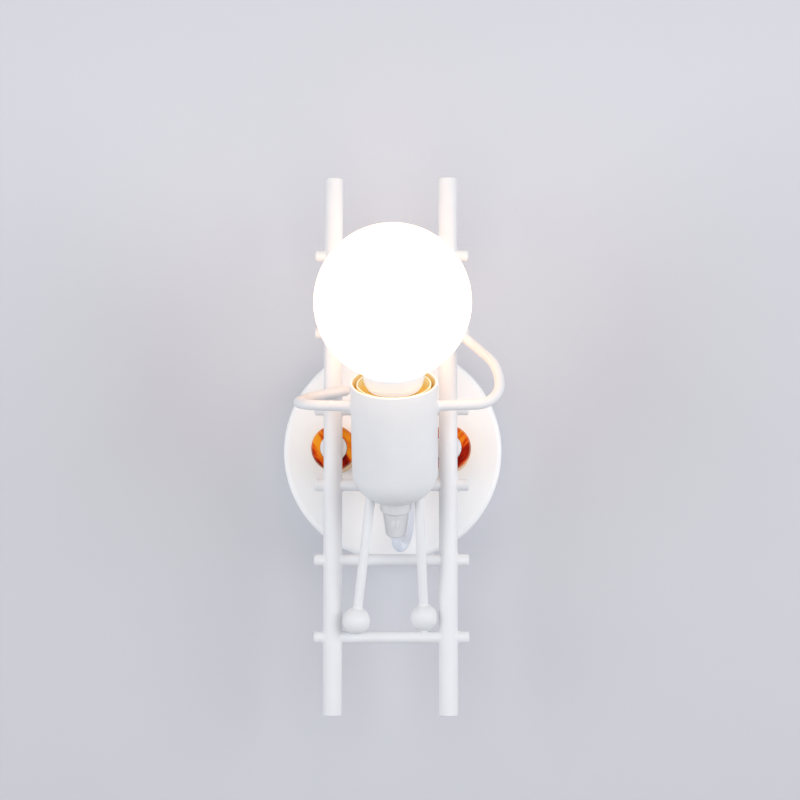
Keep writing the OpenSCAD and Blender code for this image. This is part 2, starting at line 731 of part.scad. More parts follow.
module cord_grip_nose() color("gainsboro") under_cup(grip_len + grip_lip_h + nose_len) difference() {
    union() {
        cylinder(h = nose_len, d1 = nose_tip_d, d2 = nose_top_d);
        for (i = [0 : grip_ribs - 1]) rotate(i * 360 / grip_ribs) rib();
    }
    translate([0, 0, -over]) cylinder(h = nose_len + 2 * over, d = cord_d + 2 * slip_gap);
}

// One grip rib on the upper part of the nose
module rib() {
    root = nose_tip_d / 2 - rib_edge;
    crest = nose_top_d / 2 + rib_proud;
    rotate([90, 0, 0]) translate([0, 0, -rib_w / 2]) linear_extrude(rib_w)
        polygon([
            [root, nose_len - rib_h], [crest, nose_len - rib_edge], [crest, nose_len], [root, nose_len]
        ]);
}

// Cord and cores
module lamp_cord() color("lavender") swept(cord_route, cord_d, cord_sides);

module canopy_leads() {
    color("saddlebrown") swept(pole_route, lead_d, lead_sides);
    color("royalblue") swept(flipped(pole_route), lead_d, lead_sides);
    color("yellowgreen") swept(earth_route, lead_d, lead_sides);
}

// Two cores in the holder, from the nipple up to the terminals on the core's underside
module holder_leads() color("saddlebrown") in_cup() for (s = [-1, 1])
    translate([0, 0, lead_d - nipple_top]) {
        translate([s * lead_x, 0, -lead_d - lead_tail]) cylinder(h = lead_tail + lead_d, d = lead_d);
        translate([s * lead_x, 0, 0]) rotate([0, s * 90, 0]) cylinder(h = terminal_x - lead_x, d = lead_d);
        translate([s * terminal_x, 0, 0])
            cylinder(h = nipple_top - core_top - core_h - lead_d - terminal_head_h - weld_gap, d = lead_d);
    }

// Bulb, whose parts lift off together along the cup's axis
module globe_profile(shrink) {
    r = globe_d / 2 - shrink;
    neck_r = neck_d / 2 - shrink;
    blend = neck_blend_r + shrink;
    blend_z = globe_rise - sqrt(pow(r + blend, 2) - pow(neck_r + blend, 2));
    low_r = neck_low_d / 2 - shrink;
    base_r = cap_d / 2 - shrink;
    intersection() {
        translate([0, globe_rise]) circle(r = r);
        translate([0, globe_rise - r]) square([r, 2 * r]);
    }
    difference() {
        translate([0, blend_z]) square([neck_r + blend / 2, globe_rise - blend_z - r / 2]);
        translate([neck_r + blend, blend_z]) circle(r = blend);
    }
    polygon([
        [0, -cap_depth], [base_r, -cap_depth], [base_r, -cap_depth / 2], [low_r, 0], [neck_r, blend_z],
        [0, blend_z]
    ]);
}

module bulb_globe() color("white") in_cup() rotate_extrude() difference() {
    globe_profile(0);
    globe_profile(glass_wall);
}

module below_cap(drop) in_cup() translate([0, 0, -cap_depth - cap_len - drop]) children();

module bulb_cap() color("silver") below_cap(0) rotate_extrude() difference() {
    square([cap_d / 2, cap_len - weld_gap]);
    translate([-over, cap_wall]) square([cap_d / 2 - cap_wall + over, cap_len]);
    translate([-over, -over]) square([cap_hole_r + over, cap_len]);
}

module bulb_insulator() color("dimgray") below_cap(insulator_h + weld_gap)
    cylinder(h = insulator_h, r1 = insulator_tip_r, r2 = insulator_top_r);

module bulb_contact() color("lightgray") below_cap(insulator_h + contact_h)
    cylinder(h = contact_h - 2 * weld_gap, r1 = contact_r - contact_edge, r2 = contact_r);

// Glass stem inside the globe that carries the light-giving filaments
module bulb_stem() color("azure") in_cup() {
    translate([0, 0, -cap_depth]) cylinder(h = flare_h, r = cap_d / 2 - glass_wall - weld_gap);
    translate([0, 0, -cap_depth + flare_h])
        cylinder(h = filament_low + cap_depth - flare_h, r1 = stem_r, r2 = stem_tip_r);
    translate([0, 0, filament_low]) cylinder(h = filament_high - filament_low, r = stem_tip_r);
    for (z = [filament_low, filament_high]) translate([0, 0, z - stem_disc_t / 2])
        cylinder(h = stem_disc_t, r = filament_ring_r - filament_d / 2 - weld_gap);
}

module bulb_filaments() color("khaki") in_cup() for (i = [0 : filament_count - 1])
    rotate(i * 360 / filament_count) translate([filament_ring_r, 0, filament_low - filament_past])
        cylinder(h = filament_high - filament_low + 2 * filament_past, d = filament_d);

mounting_strap();
earth_screw();
earth_ring();
terminal_block();
terminal_block_screw();
terminal_tubes();
terminal_screws();
canopy();
canopy_screws();
cord_grommet();
standoff_bolts();
standoff_washers();
standoff_boss(-1);  // standoff_boss_left
standoff_boss(1);  // standoff_boss_right
wood_sleeve(-1);  // wood_sleeve_left
wood_sleeve(1);  // wood_sleeve_right
rail(-1);  // left_rail
rail(1);  // right_rail
rung(1);  // rung_1
rung(2);  // rung_2
rung(3);  // rung_3
rung(4);  // rung_4
rung(5);  // rung_5
rung(6);  // rung_6
lamp_cup();
arm(left_arm_path, left_arm_bends);  // left_arm
arm(right_arm_path, right_arm_bends);  // right_arm
leg(-1);  // left_leg
leg(1);  // right_leg
foot(-1);  // left_foot
foot(1);  // right_foot
holder_sleeve();
holder_core();
holder_shell();
centre_contact();
holder_terminals();
holder_cap();
nipple();
nipple_nut();
cord_grip_collar();
cord_grip_nose();
lamp_cord();
canopy_leads();
holder_leads();
bulb_globe();
bulb_cap();
bulb_insulator();
bulb_contact();
bulb_stem();
bulb_filaments();
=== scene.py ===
import json
import math
import bmesh
import bpy
from mathutils import Matrix, Vector
from mathutils.bvhtree import BVHTree


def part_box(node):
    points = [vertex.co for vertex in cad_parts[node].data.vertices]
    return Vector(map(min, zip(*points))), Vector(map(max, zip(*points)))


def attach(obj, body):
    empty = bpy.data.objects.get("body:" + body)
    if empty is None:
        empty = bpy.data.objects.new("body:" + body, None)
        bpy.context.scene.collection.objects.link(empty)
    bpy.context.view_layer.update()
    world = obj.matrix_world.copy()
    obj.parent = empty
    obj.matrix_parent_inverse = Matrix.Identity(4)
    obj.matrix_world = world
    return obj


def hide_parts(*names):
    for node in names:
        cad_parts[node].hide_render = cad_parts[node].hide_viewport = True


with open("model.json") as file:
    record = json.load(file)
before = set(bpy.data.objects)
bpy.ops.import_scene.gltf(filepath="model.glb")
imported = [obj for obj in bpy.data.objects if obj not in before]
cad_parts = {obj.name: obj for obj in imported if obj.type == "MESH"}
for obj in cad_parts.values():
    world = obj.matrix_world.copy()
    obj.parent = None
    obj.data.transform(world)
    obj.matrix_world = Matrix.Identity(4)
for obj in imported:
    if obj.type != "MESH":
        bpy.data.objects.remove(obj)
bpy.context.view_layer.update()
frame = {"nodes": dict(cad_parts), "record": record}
nodes = frame["nodes"]
scene = bpy.context.scene
mm = 0.001
print("frame loaded with", len(nodes), "nodes")

# camera: level with the lower rungs, a little to the right, looking slightly up
cameraSet = {
    "place": (0.0366, -1.2005, -0.0766),
    "pitch": 5.093,
    "yaw": 1.581,
    "lens": 96.44,
    "sensor": 36,
}


def makeCamera(s):
    data = bpy.data.cameras.new("viewCamera")
    data.lens = s["lens"]
    data.sensor_width = s["sensor"]
    cam = bpy.data.objects.new("viewCamera", data)
    cam.location = s["place"]
    cam.rotation_euler = (math.radians(90 + s["pitch"]), 0, math.radians(s["yaw"]))
    scene.collection.objects.link(cam)
    scene.camera = cam


makeCamera(cameraSet)
print("camera set")

# small helpers for node materials
mixFirst, mixSecond, mixResult = 6, 7, 2  # colour sockets of a mix node


def newMaterial(name, **sockets):
    mat = bpy.data.materials.new(name)
    mat.use_nodes = True
    shader = mat.node_tree.nodes["Principled BSDF"]
    for socket, value in sockets.items():
        shader.inputs[socket.replace("_", " ")].default_value = value
    return mat, shader


def addNode(mat, kind, inputs=None, **options):
    made = mat.node_tree.nodes.new(kind)
    for key, value in options.items():
        setattr(made, key, value)
    for key, value in (inputs or {}).items():
        made.inputs[key].default_value = value
    return made


def join(mat, source, outName, target, inName):
    mat.node_tree.links.new(source.outputs[outName], target.inputs[inName])


def addRamp(mat, stops):
    ramp = addNode(mat, "ShaderNodeValToRGB")
    elements = ramp.color_ramp.elements
    while len(elements) < len(stops):
        elements.new(0.5)
    for element, (place, colour) in zip(elements, stops):
        element.position = place
        element.color = (*colour, 1)
    return ramp


def twoTone(mat, tones):
    return addRamp(mat, [(0.3, tones[0]), (0.7, tones[1])])


def objectPlace(mat, scale=(1, 1, 1), turn=(0, 0, 0), shift=(0, 0, 0)):
    place = addNode(mat, "ShaderNodeTexCoord")
    angles = [math.radians(a) for a in turn]
    mapping = addNode(mat, "ShaderNodeMapping", {"Location": shift, "Rotation": angles, "Scale": scale})
    join(mat, place, "Object", mapping, "Vector")
    return mapping


def addBump(mat, shader, source, outName, strength, depth):
    bump = addNode(mat, "ShaderNodeBump", {"Strength": strength, "Distance": depth})
    join(mat, source, outName, bump, "Height")
    join(mat, bump, "Normal", shader, "Normal")


# a fine mottle: colour between two tones, roughness over a range, grain as bump
def mottled(name, tones, rough, toneScale, grainScale, grain, grainDepth=0.0002, **sockets):
    mat, shader = newMaterial(name, **sockets)
    place = objectPlace(mat)
    cloud = addNode(mat, "ShaderNodeTexNoise", {"Scale": toneScale, "Detail": 3})
    fine = addNode(mat, "ShaderNodeTexNoise", {"Scale": grainScale, "Detail": 2})
    join(mat, place, "Vector", cloud, "Vector")
    join(mat, place, "Vector", fine, "Vector")
    ramp = twoTone(mat, tones)
    join(mat, cloud, "Fac", ramp, "Fac")
    join(mat, ramp, "Color", shader, "Base Color")
    spread = addNode(mat, "ShaderNodeMapRange", {"To Min": rough[0], "To Max": rough[1]})
    join(mat, cloud, "Fac", spread, "Value")
    join(mat, spread, "Result", shader, "Roughness")
    addBump(mat, shader, fine, "Fac", grain, grainDepth)
    return mat


# the cup's own frame: origin in the middle of its rim, local Z along its axis towards the bulb
cupSet = {
    "rim": (0.0032, -0.10505, 0.0305),
    "tilt": 28,
    "radius": 0.0225,
    "length": 0.0663,
    "corner": 0.017,
    "wall": 0.0012,
    "hole": 0.0052,
    "steps": 128,
    "lipSteps": 8,
    "cornerSteps": 20,
}
cupFrame = Matrix.Translation(cupSet["rim"]) @ Matrix.Rotation(math.radians(cupSet["tilt"]), 4, "X")
cupAxis = (cupFrame.to_3x3() @ Vector((0, 0, 1))).normalized()

# finishes, one function each
coatSet = {
    "rods": ((0.775, 0.78, 0.8), (0.81, 0.815, 0.83)),
    # canopy: the same white coat as the rods, painted lighter to stand in for the light falling on the plate
    "canopy": ((0.92, 0.925, 0.935), (0.945, 0.95, 0.96)),
    # inside the cup: the same white coat with the bulb's warm glow painted in as a gold tone
    "inside": ((0.95, 0.78, 0.4), (0.97, 0.81, 0.44)),
    "rough": (0.36, 0.46),
    "gloss": 0.35,
    "toneScale": 40,
    "grainSize": 0.0007,
    "grain": 0.05,
}


def whiteCoat(where):
    s = coatSet
    return mottled(where + "Coat", s[where], s["rough"], s["toneScale"], 1 / s["grainSize"], s["grain"],
                   Specular_IOR_Level=s["gloss"])


woodSet = {
    "yellow": (0.9, 0.33, 0.015),
    "orange": (0.72, 0.1, 0.003),
    "red": (0.44, 0.016, 0.001),
    "dark": (0.2, 0.002, 0.0005),
    "side": (0.9, 0.62, 0.38),
    "sideDark": (0.8, 0.48, 0.24),
    "darkUpTo": 0.37,
    "stops": ((0.43, "red"), (0.49, "orange"), (0.58, "yellow")),
    "bandWidth": 0.0062,
    "bandLength": 0.03,
    "fibreScale": (900, 60, 900),
    "fibre": 0.12,
    "fibreDepth": 0.0003,
    "rough": (0.34, 0.55),
    "gloss": 0.06,
    "frontFacing": (-0.55, -0.75),  # a normal's share of Y where the stain begins and is full
    "sleeves": {  # lean of the streaks, where in the plank it was cut, how much more stain it took
        "wood_sleeve_left": {"lean": 36, "cut": (0.02, 0, 0.0012), "stain": -0.012},
        "wood_sleeve_right": {"lean": -42, "cut": (0.016, 0.01, 0.004), "stain": 0.058},
    },
}


# stained end grain on the front face, paler turned wood round the side
def stainedWood(name, lean, cut, stain):
    s = woodSet
    mat, shader = newMaterial(name, Specular_IOR_Level=s["gloss"])
    turned = objectPlace(mat, turn=(0, lean, 0), shift=cut)
    band = (1 / s["bandWidth"], 1 / s["bandLength"], 1 / s["bandLength"])
    stretch = addNode(mat, "ShaderNodeMapping", {"Scale": band})
    join(mat, turned, "Vector", stretch, "Vector")
    streak = addNode(mat, "ShaderNodeTexNoise",
                     {"Scale": 1, "Detail": 6, "Roughness": 0.6, "Distortion": 0.35})
    join(mat, stretch, "Vector", streak, "Vector")
    stops = [(s["darkUpTo"], s["dark"])] + [(at + stain, s[tone]) for at, tone in s["stops"]]
    front = addRamp(mat, stops)
    join(mat, streak, "Fac", front, "Fac")
    long = objectPlace(mat, scale=s["fibreScale"])
    fibre = addNode(mat, "ShaderNodeTexNoise", {"Scale": 1, "Detail": 5, "Roughness": 0.6})
    join(mat, long, "Vector", fibre, "Vector")
    side = addRamp(mat, [(0.35, s["sideDark"]), (0.6, s["side"])])
    join(mat, fibre, "Fac", side, "Fac")
    geometry = addNode(mat, "ShaderNodeNewGeometry")
    facing = addNode(mat, "ShaderNodeSeparateXYZ")
    join(mat, geometry, "Normal", facing, "Vector")
    begin, full = s["frontFacing"]
    frontShare = addNode(mat, "ShaderNodeMapRange", {"From Min": begin, "From Max": full})
    join(mat, facing, "Y", frontShare, "Value")
    mix = addNode(mat, "ShaderNodeMix", data_type="RGBA")
    join(mat, frontShare, "Result", mix, "Factor")
    join(mat, side, "Color", mix, mixFirst)
    join(mat, front, "Color", mix, mixSecond)
    join(mat, mix, mixResult, shader, "Base Color")
    rough = addNode(mat, "ShaderNodeMapRange", {"To Min": s["rough"][0], "To Max": s["rough"][1]})
    join(mat, fibre, "Fac", rough, "Value")
    join(mat, rough, "Result", shader, "Roughness")
    addBump(mat, shader, fibre, "Fac", s["fibre"], s["fibreDepth"])
    return mat


glowSet = {
    "levels": [  # place along the cup's axis, tint and power
        (-0.009, (1.0, 0.6, 0.1), 4.0),
        (-0.0083, (1.0, 0.6, 0.1), 3.6),
        (-0.0078, (1.0, 0.64, 0.16), 0.3),
        (-0.0033, (1.0, 0.64, 0.16), 0.08),
        (-0.0029, (0.55, 0.72, 1.0), 0.38),
        (-0.0003, (0.55, 0.72, 1.0), 0.32),
        (0.0006, (0.25, 0.7, 1.0), 0.13),
        (0.0062, (0.25, 0.7, 1.0), 0.13),
        (0.0095, (1.0, 0.56, 0.27), 2.9),
        (0.015, (1.0, 0.56, 0.27), 3.4),
        (0.024, (1.0, 0.62, 0.36), 2.5),
    ],
    "mostPower": 4,
    "footTop": -0.0031,
    "footBlend": 0.0002,
    # below the foot line the base colour is a painted warm glow, gold
    "footGlowTone": (0.72, 0.5, 0.14),
    "milk": ((0.82, 0.79, 0.775), (0.86, 0.815, 0.8)),
    "milkScale": 60,
    "rough": 0.22,
}


# lit opal glass: white globe, warmer neck, golden foot down in the holder, whose base colour is a painted
# warm glow
def opalGlow():
    s = glowSet
    mat, shader = newMaterial("opalGlow", Roughness=s["rough"])
    place = addNode(mat, "ShaderNodeTexCoord")
    fromRim = addNode(mat, "ShaderNodeVectorMath", operation="SUBTRACT")
    fromRim.inputs[1].default_value = cupSet["rim"]
    join(mat, place, "Object", fromRim, 0)
    rise = addNode(mat, "ShaderNodeVectorMath", operation="DOT_PRODUCT")
    rise.inputs[1].default_value = cupAxis
    join(mat, fromRim, "Vector", rise, 0)
    low, high = s["levels"][0][0], s["levels"][-1][0]
    share = addNode(mat, "ShaderNodeMapRange", {"From Min": low, "From Max": high})
    join(mat, rise, "Value", share, "Value")
    stops = [((level - low) / (high - low), colour, power) for level, colour, power in s["levels"]]
    tint = addRamp(mat, [(at, colour) for at, colour, power in stops])
    join(mat, share, "Result", tint, "Fac")
    shade = addRamp(mat, [(at, [power / s["mostPower"]] * 3) for at, colour, power in stops])
    join(mat, share, "Result", shade, "Fac")
    raised = addNode(mat, "ShaderNodeMath", operation="MULTIPLY")
    raised.inputs[1].default_value = s["mostPower"]
    join(mat, shade, "Color", raised, 0)
    milk = addNode(mat, "ShaderNodeTexNoise", {"Scale": s["milkScale"], "Detail": 2})
    join(mat, place, "Object", milk, "Vector")
    body = twoTone(mat, s["milk"])
    join(mat, milk, "Fac", body, "Fac")
    above = addNode(mat, "ShaderNodeMapRange", {"From Min": s["footTop"] - s["footBlend"],
                                                "From Max": s["footTop"] + s["footBlend"]})
    join(mat, rise, "Value", above, "Value")
    foot = addNode(mat, "ShaderNodeMix", {mixFirst: (*s["footGlowTone"], 1)}, data_type="RGBA")
    join(mat, above, "Result", foot, "Factor")
    join(mat, body, "Color", foot, mixSecond)
    join(mat, foot, mixResult, shader, "Base Color")
    join(mat, tint, "Color", shader, "Emission Color")
    join(mat, raised, "Value", shader, "Emission Strength")
    return mat


metalSet = {
    "plated_steel": {"tones": ((0.5, 0.5, 0.48), (0.62, 0.62, 0.6)), "rough": (0.28, 0.45), "scale": 90},
    "brass": {"tones": ((0.62, 0.42, 0.14), (0.75, 0.54, 0.22)), "rough": (0.25, 0.42), "scale": 120},
    "nickel": {"tones": ((0.6, 0.58, 0.53), (0.7, 0.68, 0.63)), "rough": (0.18, 0.32), "scale": 150},
    "solder": {"tones": ((0.55, 0.55, 0.55), (0.68, 0.68, 0.68)), "rough": (0.3, 0.5), "scale": 400},
}
metalGrain = {"scale": 2500, "strength": 0.06}


# bare or plated metal with a faint grain
def plainMetal(name):
    s = metalSet[name]
    return mottled(name, s["tones"], s["rough"], s["scale"], metalGrain["scale"], metalGrain["strength"],
                   Metallic=1)


plasticSet = {
    "terminal_plastic": {"tones": ((0.8, 0.8, 0.76), (0.85, 0.85, 0.82)), "rough": (0.42, 0.55)},
    "white_rubber": {"tones": ((0.7, 0.7, 0.7), (0.76, 0.76, 0.76)), "rough": (0.6, 0.75)},
    # holder plastic: pale plastic whose gold tone is a painted warm glow from the bulb
    "holder_plastic": {"tones": ((0.94, 0.79, 0.36), (0.96, 0.82, 0.4)), "rough": (0.38, 0.5)},
    "holder_rim": {"tones": ((0.9, 0.84, 0.7), (0.93, 0.87, 0.74)), "rough": (0.38, 0.5)},
    "holder_insulator": {"tones": ((0.74, 0.72, 0.65), (0.8, 0.78, 0.72)), "rough": (0.6, 0.75)},
    "grip_plastic": {"tones": ((0.68, 0.685, 0.7), (0.73, 0.735, 0.75)), "rough": (0.26, 0.36)},
    "cord_pvc": {"tones": ((0.82, 0.87, 0.96), (0.86, 0.9, 0.98)), "rough": (0.28, 0.4)},
    "black_insulator": {"tones": ((0.012, 0.012, 0.014), (0.03, 0.03, 0.034)), "rough": (0.12, 0.25)},
    "phosphor": {"tones": ((0.8, 0.55, 0.1), (0.88, 0.65, 0.18)), "rough": (0.6, 0.8)},
}
plasticGrain = {"toneScale": 70, "scale": 1800, "strength": 0.04}


def mouldedPlastic(name):
    s, grain = plasticSet[name], plasticGrain
    return mottled(name, s["tones"], s["rough"], grain["toneScale"], grain["scale"], grain["strength"])


coreSet = {
    "live": ((0.16, 0.065, 0.03), (0.22, 0.09, 0.04)),
    "neutral": ((0.03, 0.1, 0.4), (0.05, 0.14, 0.5)),
    "earth": ((0.3, 0.48, 0.03), (0.75, 0.68, 0.05)),
}
coreGrain = {"rough": (0.32, 0.45), "toneScale": 160, "scale": 2000, "strength": 0.03}


# insulation of one core
def coreSkin(name):
    grain = coreGrain
    return mottled(name + "Core", coreSet[name], grain["rough"], grain["toneScale"], grain["scale"],
                   grain["strength"])


stemSet = {
    "tones": ((0.93, 0.95, 0.96), (0.97, 0.98, 1.0)),
    "rough": (0.03, 0.08),
    "toneScale": 60,
    "grainScale": 900,
    "grain": 0.02,
    "clear": 0.9,
    "index": 1.5,
}


def clearStem():
    s = stemSet
    return mottled("clearStem", s["tones"], s["rough"], s["toneScale"], s["grainScale"], s["grain"],
                   Transmission_Weight=s["clear"], IOR=s["index"])


finishes = {"white_coat": whiteCoat("rods"), "opal_glass": opalGlow(), "clear_glass": clearStem()}
finishes.update({name: plainMetal(name) for name in metalSet})
finishes.update({name: mouldedPlastic(name) for name in plasticSet})
finishes["lead_insulation"] = coreSkin("live")
for part in frame["record"]["subparts"]:
    node = nodes[part["node"]]
    node.data.materials.clear()
    sleeve = woodSet["sleeves"].get(part["node"])
    finish = stainedWood(part["node"], **sleeve) if sleeve else finishes[part["material_slot"]]
    node.data.materials.append(finish)
# the canopy's lighter copy of the white coat is painted light
nodes["canopy"].data.materials[0] = whiteCoat("canopy")
print("finishes on", len(nodes), "nodes:", len(finishes))

# mesh helpers
sharpAngle = math.radians(40)  # edges that turn more than this stay crisp


def addPiece(name, points, faces, finish, slotName, body="lamp"):
    mesh = bpy.data.meshes.new(name)
    mesh.from_pydata([tuple(p) for p in points], [], faces)
    mesh.validate()
    form = bmesh.new()
    form.from_mesh(mesh)
    bmesh.ops.recalc_face_normals(form, faces=form.faces)
    form.to_mesh(mesh)
    form.free()
    mesh.shade_smooth()
    mesh.set_sharp_from_angle(angle=sharpAngle)
    mesh.materials.append(finish)
    piece = bpy.data.objects.new(name, mesh)
    scene.collection.objects.link(piece)
    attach(piece, body)
    return piece


# rings of equal length joined into a closed skin, each ring a list of points
def skin(rings, closed=False):
    count = len(rings[0])
    points = [p for ring in rings for p in ring]
    faces = []
    spans = len(rings) if closed else len(rings) - 1
    for i in range(spans):
        low, high = i * count, (i + 1) % len(rings) * count
        for k in range(count):
            n = (k + 1) % count
            faces.append((low + k, low + n, high + n, high + k))
    if not closed:
        faces.append(tuple(range(count - 1, -1, -1)))
        faces.append(tuple(range(len(points) - count, len(points))))
    return points, faces


def circle(r, z, place, steps):
    angles = [2 * math.pi * k / steps for k in range(steps)]
    return [place @ Vector((r * math.cos(a), r * math.sin(a), z)) for a in angles]


def lathe(profile, place, steps):
    return skin([circle(r, z, place, steps) for r, z in profile], closed=True)


def arc(cx, cz, r, start, end, steps):
    angles = [math.radians(start + (end - start) * k / steps) for k in range(steps + 1)]
    return [(cx + r * math.cos(a), cz + r * math.sin(a)) for a in angles]


# a round tube along points, with a radius for each of them
def sweep(points, radii, sides):
    side = Vector((1, 0.1, 0))
    rings = []
    for i, p in enumerate(points):
        ahead = points[min(i + 1, len(points) - 1)] - points[max(i - 1, 0)]
        ahead.normalize()
        side = (side - ahead * ahead.dot(side)).normalized()
        other = ahead.cross(side)
        angles = [2 * math.pi * k / sides for k in range(sides)]
        rings.append([p + radii[i] * (side * math.cos(a) + other * math.sin(a)) for a in angles])
    return skin(rings)


# several skins as one piece of the lamp
def addSkins(name, skins, finish="white_coat"):
    points, faces = [], []
    for some, more in skins:
        faces += [tuple(i + len(points) for i in face) for face in more]
        points += some
    return addPiece(name, points, faces, finishes[finish], finish)


# lamp cord: from inside the grip's nose, round and up behind, into the bush in the canopy
cordSet = {
    "diameter": 0.0056,
    "steps": 8,
    "roundness": 8,
    "route": [  # across, out from the wall, up, in millimetres
        (3.2, 67.9, -39.3), (3.2, 66, -42.8), (3.2, 64.2, -46.3), (3.2, 62.2, -49.1), (3.8, 57, -52.9),
        (5.6, 49, -53.5), (7.8, 42, -49.6), (9.4, 38.5, -43), (9.8, 38.5, -34), (8.6, 40, -24), (6, 42, -15),
        (3, 41, -7), (1, 36, -1.5), (0, 30, 0), (0, 26, 0), (0, 22, 0), (0, 19, 0),
    ],
}


def fromWall(p):
    return Vector((p[0], -p[1], p[2])) * mm


def smoothRoute(route, steps):
    held = [fromWall(p) for p in [route[0]] * 2 + list(route) + [route[-1]] * 2]
    line = []
    for i in range(len(held) - 3):
        a, b, c, d = held[i:i + 4]
        for k in range(steps):
            t = k / steps
            line.append((a * (1 - t) ** 3 + b * (3 * t ** 3 - 6 * t * t + 4)
                         + c * (-3 * t ** 3 + 3 * t * t + 3 * t + 1) + d * t ** 3) / 6)
    return line + [held[-1]]


def lineLength(line):
    return sum((b - a).length for a, b in zip(line, line[1:]))


def addCord(name, line, diameter, finish):
    data = bpy.data.curves.new(name, "CURVE")
    data.dimensions = "3D"
    data.bevel_depth = diameter / 2
    data.bevel_resolution = cordSet["roundness"]
    data.use_fill_caps = True
    spline = data.splines.new("POLY")
    spline.points.add(len(line) - 1)
    for point, p in zip(spline.points, line):
        point.co = (*p, 1)
    spline.use_smooth = True
    data.materials.append(finish)
    piece = bpy.data.objects.new(name, data)
    scene.collection.objects.link(piece)
    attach(piece, "lamp")
    return piece


cordLine = smoothRoute(cordSet["route"], cordSet["steps"])
lampCord = addCord("lampCord", cordLine, cordSet["diameter"], finishes["cord_pvc"])
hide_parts("lamp_cord")
print("lamp cord", round(lineLength(cordLine) * 1000), "mm")

# cores: three inside the canopy, two inside the holder
coresSet = {
    "diameter": 0.0022,
    "steps": 6,
    "live": [(1.4, 18.6, 0.8), (2, 15, 1), (4, 10, 2), (5.5, 7, 5), (5.5, 7, 9), (5.5, 7, 14)],
    "earth": [(0, 18.6, -1.6), (0, 15, -2), (0, 9, -3), (0, 5, -4.5), (0, 3.75, -7), (0, 3.75, -9),
              (0, 3.75, -11), (0, 3.75, -13)],
    "holderUp": [(1.6, -62.35), (1.6, -57.5), (2.2, -55.0), (6.5, -53.6), (9, -51.8), (9, -48.75)],
}


def addCores(s):
    flip = [(-x, out, z) for x, out, z in s["live"]]
    skins = {name: coreSkin(name) for name in coreSet}
    for name, route in (("live", s["live"]), ("neutral", flip), ("earth", s["earth"])):
        line = smoothRoute(route, s["steps"])
        addCord(name + "Lead", line, s["diameter"], skins[name])
    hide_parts("canopy_leads")
    for name, sign in (("live", 1), ("neutral", -1)):
        corners = [cupFrame @ Vector((sign * x * mm, 0, z * mm)) for x, z in s["holderUp"]]
        route = [(p.x / mm, -p.y / mm, p.z / mm) for p in corners]
        line = smoothRoute(route, s["steps"])
        addCord(name + "HolderLead", line, s["diameter"], skins[name])
    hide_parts("holder_leads")


addCores(coresSet)
print("cores in place")

# arms: bent rod from the cup's wall to the rails, corners in millimetres as across, out, up
armSet = {
    "radius": 0.0027,
    "sides": 32,
    "bendSteps": 20,
    "endSteps": 8,
    "startDepth": 0.0007,
    "left": [(-13.9, 98.618, 18.404), (-47.95, 96.618, 19.404), (-46.45, 66, 25.6), (-23.95, 66, 29.5)],
    "leftBends": (0.0135, 0.0135),
    "right": [(20.3, 98.618, 18.404), (58.75, 93.618, 20.104), (57.05, 82.618, 41.0),
              (42.75, 66, 55.3), (23.95, 66, 71.3)],
    "rightBends": (0.0135, 0.029, 0.0135),
}


def bentLine(corners, bends, steps):
    line = [corners[0]]
    for before, corner, after, radius in zip(corners, corners[1:], corners[2:], bends):
        u = (corner - before).normalized()
        v = (after - corner).normalized()
        turn = u.angle(v)
        inward = (v - u * u.dot(v)).normalized()
        start = corner - u * radius * math.tan(turn / 2)
        centre = start + inward * radius
        for k in range(steps + 1):
            a = turn * k / steps
            line.append(centre - inward * radius * math.cos(a) + u * radius * math.sin(a))
    return line + [corners[-1]]


def addArm(name, side, s):
    corners = [fromWall(p) for p in s[side]]
    ahead = (corners[1] - corners[0]).normalized()
    local = cupFrame.inverted() @ corners[0]
    reach = cupSet["radius"] - s["startDepth"] - Vector((local.x, local.y)).length
    corners[0] = corners[0] + ahead * reach
    line = bentLine(corners, s[side + "Bends"], s["bendSteps"])
    radii = [s["radius"]] * len(line)
    tipAhead = (line[-1] - line[-2]).normalized()
    tip = line[-1]
    for k in range(1, s["endSteps"]):
        a = math.pi / 2 * k / s["endSteps"]
        line.append(tip + tipAhead * s["radius"] * math.sin(a))
        radii.append(s["radius"] * math.cos(a))
    return addSkins(name, [sweep(line, radii, s["sides"])]), corners[0], ahead


leftArm, leftShoulder, leftAhead = addArm("leftArm", "left", armSet)
rightArm, rightShoulder, rightAhead = addArm("rightArm", "right", armSet)
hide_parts("left_arm")
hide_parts("right_arm")
print("arms bent")


# cup: spun sheet with a rounded lip
def cupProfile(s):
    outer, wall, floor = s["radius"], s["wall"], -s["length"]
    lip = arc(outer - wall / 2, -wall / 2, wall / 2, 0, 180, s["lipSteps"])
    middle = (outer - s["corner"], floor + s["corner"])
    bottomIn = arc(*middle, s["corner"] - wall, 0, -90, s["cornerSteps"])
    bottomOut = arc(*middle, s["corner"], -90, 0, s["cornerSteps"])
    return lip + bottomIn + [(s["hole"], floor + wall), (s["hole"], floor)] + bottomOut


lampCup = addSkins("lampCup", [lathe(cupProfile(cupSet), cupFrame, cupSet["steps"])])
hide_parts("lamp_cup")


def heightOverRim(face):
    return (face.center - cupFrame.translation).dot(cupAxis)


# painted warm glow of the bulb below the lip, on the faces that look at the cup's middle
def paintCupGlow(cup, s):
    cup.data.materials.append(whiteCoat("inside"))
    heart = cupFrame @ Vector((0, 0, -s["length"] / 2))
    for face in cup.data.polygons:
        if face.normal.dot(face.center - heart) < 0 and heightOverRim(face) < -s["wall"] / 2:
            face.material_index = 1


paintCupGlow(lampCup, cupSet)
print("cup spun")

# lamp holder: sleeve with a rounded rim and its screw shell
holderSet = {
    "radius": 0.0193,
    "wall": 0.0018,
    "top": -0.001,
    "bottom": -0.047,
    "shelf": -0.045,
    "lip": 0.0004,
    "lipSteps": 10,
    "bevel": 0.0024,
    "steps": 128,
}


